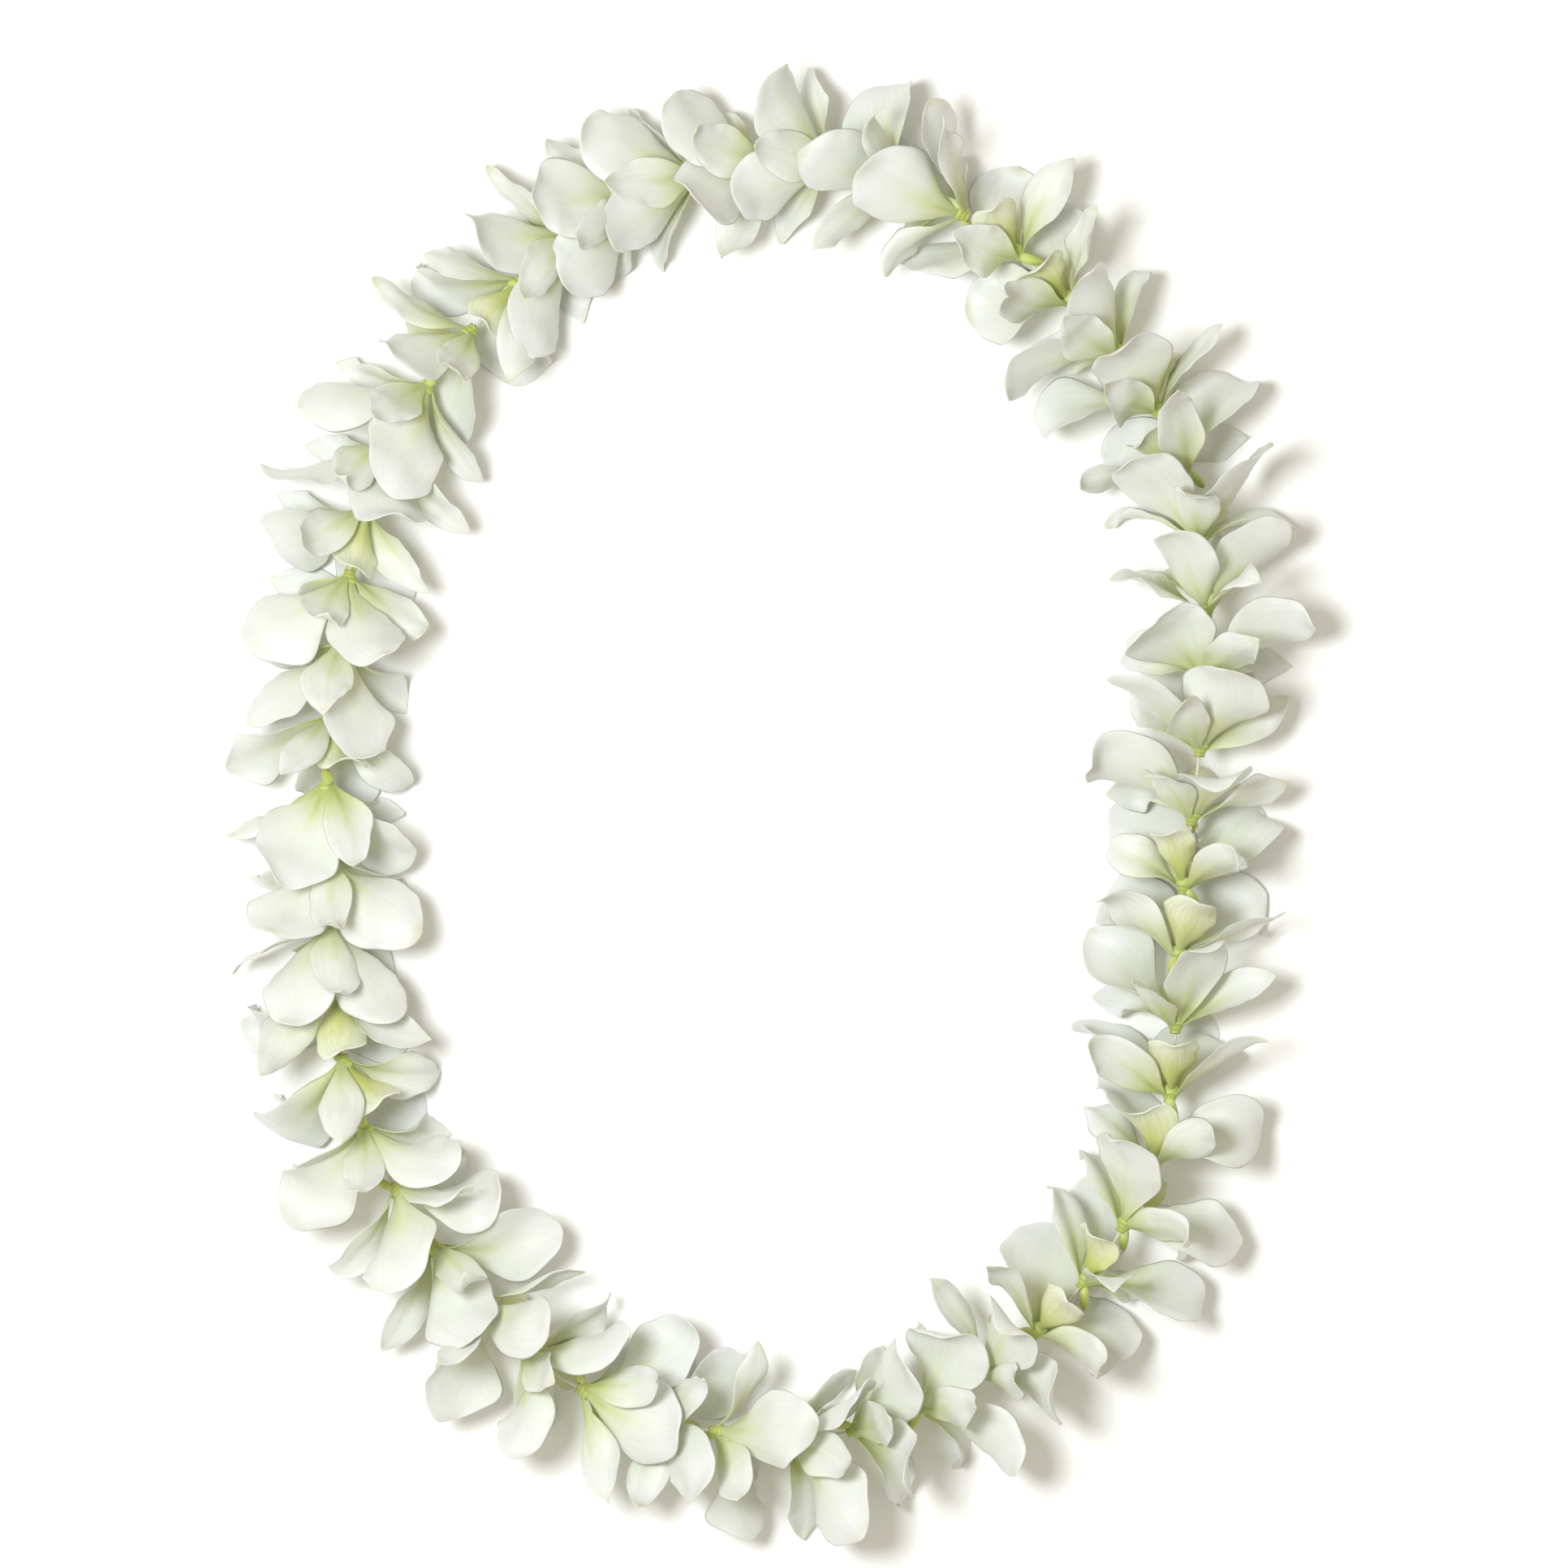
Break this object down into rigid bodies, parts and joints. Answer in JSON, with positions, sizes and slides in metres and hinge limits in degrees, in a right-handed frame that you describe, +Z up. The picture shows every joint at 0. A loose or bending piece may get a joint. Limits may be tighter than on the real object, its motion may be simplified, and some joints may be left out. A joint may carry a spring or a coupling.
{
  "type": "flower lei",
  "caption": "Fresh flower lei of white orchid blooms threaded nose to tail on a tied string, lying open in an oval loop.",
  "frame": {"origin": "on the table, under the middle of the lying loop's bounding box", "axes": "+Z up from the table, +Y along the oval's long way, +X across it; seen from above the blooms face counter-clockwise"},
  "size_m": [0.3342, 0.4564, 0.051],
  "materials": {
    "petal": "soft waxy",
    "string": "matte cotton"
  },
  "bodies": {
    "root": {"bloom_01": "petal", "bloom_02": "petal", "bloom_03": "petal", "bloom_04": "petal", "bloom_05": "petal", "bloom_06": "petal", "bloom_07": "petal", "bloom_08": "petal", "bloom_09": "petal", "bloom_10": "petal", "bloom_11": "petal", "bloom_12": "petal", "bloom_13": "petal", "bloom_14": "petal", "bloom_15": "petal", "bloom_16": "petal", "bloom_17": "petal", "bloom_18": "petal", "bloom_19": "petal", "bloom_20": "petal", "bloom_21": "petal", "bloom_22": "petal", "bloom_23": "petal", "bloom_24": "petal", "bloom_25": "petal", "bloom_26": "petal", "bloom_27": "petal", "bloom_28": "petal", "bloom_29": "petal", "bloom_30": "petal", "bloom_31": "petal", "bloom_32": "petal", "bloom_33": "petal", "bloom_34": "petal", "bloom_35": "petal", "bloom_36": "petal", "bloom_37": "petal", "bloom_38": "petal", "bloom_39": "petal", "bloom_40": "petal", "bloom_41": "petal", "bloom_42": "petal", "bloom_43": "petal", "bloom_44": "petal", "bloom_45": "petal", "bloom_46": "petal", "bloom_47": "petal", "bloom_48": "petal", "bloom_49": "petal", "bloom_50": "petal", "string": "string"}
  },
  "joints": []
}
